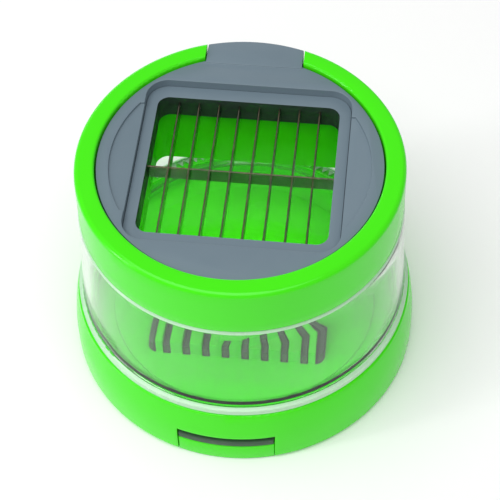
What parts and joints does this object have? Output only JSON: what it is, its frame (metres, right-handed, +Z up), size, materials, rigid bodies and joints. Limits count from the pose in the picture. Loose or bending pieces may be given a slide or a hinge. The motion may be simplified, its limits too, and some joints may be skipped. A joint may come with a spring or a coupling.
{
  "type": "vegetable dicer",
  "caption": "Round hand press dicer: green collar with a lift-out grey blade grid, clear container, and a green press cap with slotted pusher as its foot.",
  "frame": {"origin": "centre of the flat underside of the press cap, on the surface the dicer stands on", "axes": "+Z up along the round body's axis, +Y towards the carrier's finger tab, long blades along Y, cap notch at -Y"},
  "size_m": [0.0908, 0.0905, 0.066],
  "materials": {
    "green_plastic": "gloss",
    "grey_plastic": "satin",
    "clear_plastic": "clear gloss",
    "blade_steel": "brushed"
  },
  "bodies": {
    "cap": {"press_cap": "green_plastic", "pusher_plate": "green_plastic", "palm_cover": "green_plastic"},
    "comb": {"cleaning_comb": "grey_plastic"},
    "tower": {"container": "clear_plastic"},
    "collar": {"collar": "green_plastic"},
    "carrier": {"blade_carrier": "grey_plastic", "blade_frame": "grey_plastic", "blade_retainer": "grey_plastic", "retainer_pins": "grey_plastic", "long_blade_1": "blade_steel", "long_blade_2": "blade_steel", "long_blade_3": "blade_steel", "long_blade_4": "blade_steel", "long_blade_5": "blade_steel", "long_blade_6": "blade_steel", "long_blade_7": "blade_steel", "long_blade_8": "blade_steel", "cross_blade": "blade_steel"}
  },
  "joints": [
    {"name": "comb_push", "type": "slide", "parent": "cap", "child": "comb", "axis": [0, 0, 1], "range_m": [0, 0.0013]},
    {"name": "tower_lift", "type": "slide", "parent": "cap", "child": "tower", "axis": [0, 0, 1], "range_m": [0, 0.03]},
    {"name": "collar_twist", "type": "hinge", "parent": "tower", "child": "collar", "pos_m": [0, 0, 0.0589], "axis": [0, 0, 1], "range_deg": [0, 25]},
    {"name": "carrier_lift", "type": "slide", "parent": "collar", "child": "carrier", "axis": [0, 0, 1], "range_m": [0, 0.02]}
  ]
}
